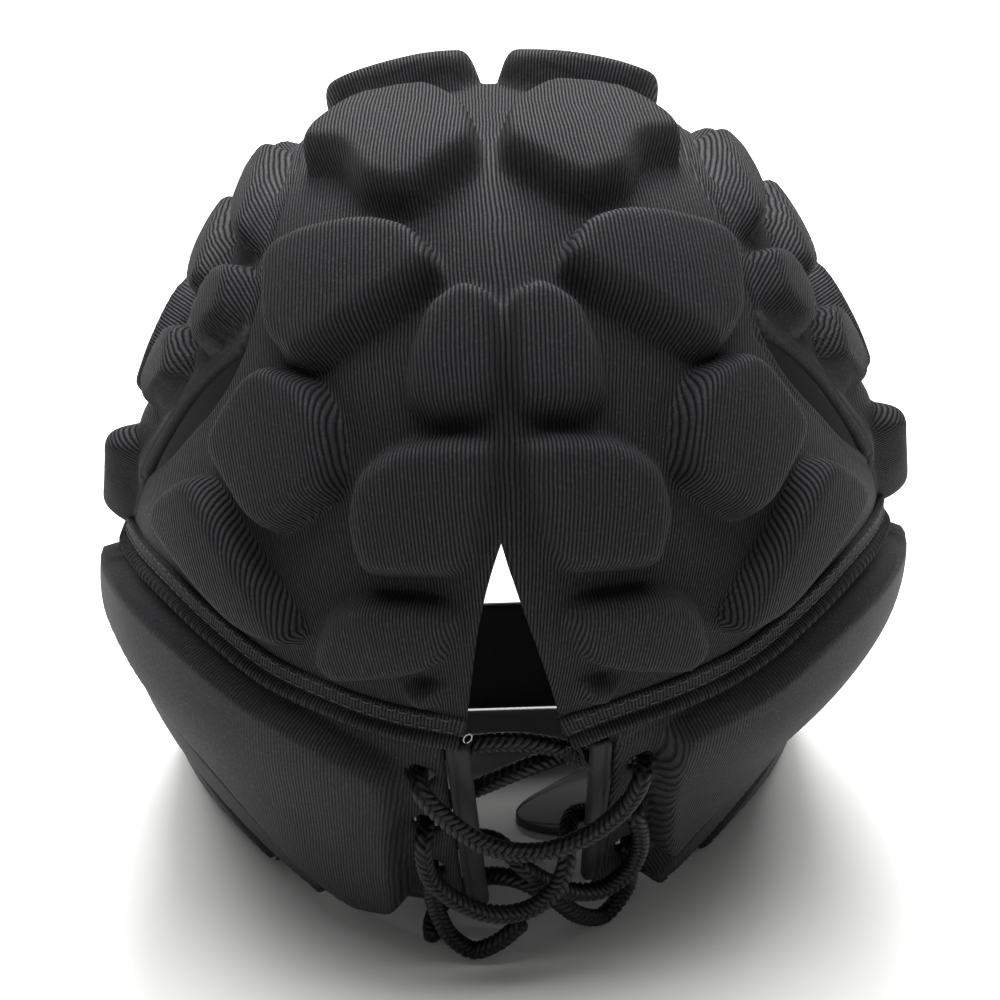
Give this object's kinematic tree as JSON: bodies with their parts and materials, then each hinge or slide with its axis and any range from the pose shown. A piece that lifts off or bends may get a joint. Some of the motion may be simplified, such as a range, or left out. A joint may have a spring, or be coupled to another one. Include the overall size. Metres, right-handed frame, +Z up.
{
  "type": "rugby scrum cap",
  "caption": "Soft padded rugby head guard: quilted cloth shell with raised foam pads, open face, ear holes, side vents, a nape slit laced shut and a chin strap.",
  "frame": {"origin": "middle of the cap's box in plan, at the surface that the cap stands on", "axes": "+Z up to the crown, +Y towards the wearer's face, +X to the wearer's right; the laced nape faces -Y"},
  "size_m": [0.2048, 0.228, 0.192],
  "materials": {
    "ribbedCloth": "matt ribbed knit",
    "bindingTape": "smooth folded binding",
    "braidedCord": "flat braided lace",
    "strapCloth": "smooth woven strap"
  },
  "bodies": {
    "root": {"back_pad_left": "ribbedCloth", "back_pad_right": "ribbedCloth", "bean_pad_left": "ribbedCloth", "bean_pad_right": "ribbedCloth", "brow_pad_left": "ribbedCloth", "brow_pad_right": "ribbedCloth", "centre_pad_left": "ribbedCloth", "centre_pad_right": "ribbedCloth", "chin_strap_left": "strapCloth", "chin_strap_right": "strapCloth", "crown_pad_left": "ribbedCloth", "crown_pad_right": "ribbedCloth", "crown_panel": "ribbedCloth", "dot_pad_left": "ribbedCloth", "dot_pad_right": "ribbedCloth", "flap_pad_lower_left": "ribbedCloth", "flap_pad_lower_right": "ribbedCloth", "flap_pad_upper_left": "ribbedCloth", "flap_pad_upper_right": "ribbedCloth", "front_pad_left": "ribbedCloth", "front_pad_right": "ribbedCloth", "lace": "braidedCord", "lace_tab_left": "bindingTape", "lace_tab_right": "bindingTape", "nape_band_left": "ribbedCloth", "nape_band_right": "ribbedCloth", "nape_pad_left": "ribbedCloth", "nape_pad_right": "ribbedCloth", "outer_pad_left": "ribbedCloth", "outer_pad_right": "ribbedCloth", "seam_pad_left": "ribbedCloth", "seam_pad_right": "ribbedCloth", "seam_piping_left": "ribbedCloth", "seam_piping_right": "ribbedCloth", "side_pad_high_left": "ribbedCloth", "side_pad_high_right": "ribbedCloth", "side_pad_low_left": "ribbedCloth", "side_pad_low_right": "ribbedCloth", "side_pad_middle_left": "ribbedCloth", "side_pad_middle_right": "ribbedCloth", "side_pad_seam_left": "ribbedCloth", "side_pad_seam_right": "ribbedCloth", "side_pad_top_left": "ribbedCloth", "side_pad_top_right": "ribbedCloth", "side_panel_left": "ribbedCloth", "side_panel_right": "ribbedCloth", "slit_pad_left": "ribbedCloth", "slit_pad_right": "ribbedCloth", "strap_closure": "strapCloth", "temple_pad_lower_left": "ribbedCloth", "temple_pad_lower_right": "ribbedCloth", "temple_pad_upper_left": "ribbedCloth", "temple_pad_upper_right": "ribbedCloth"}
  },
  "joints": []
}
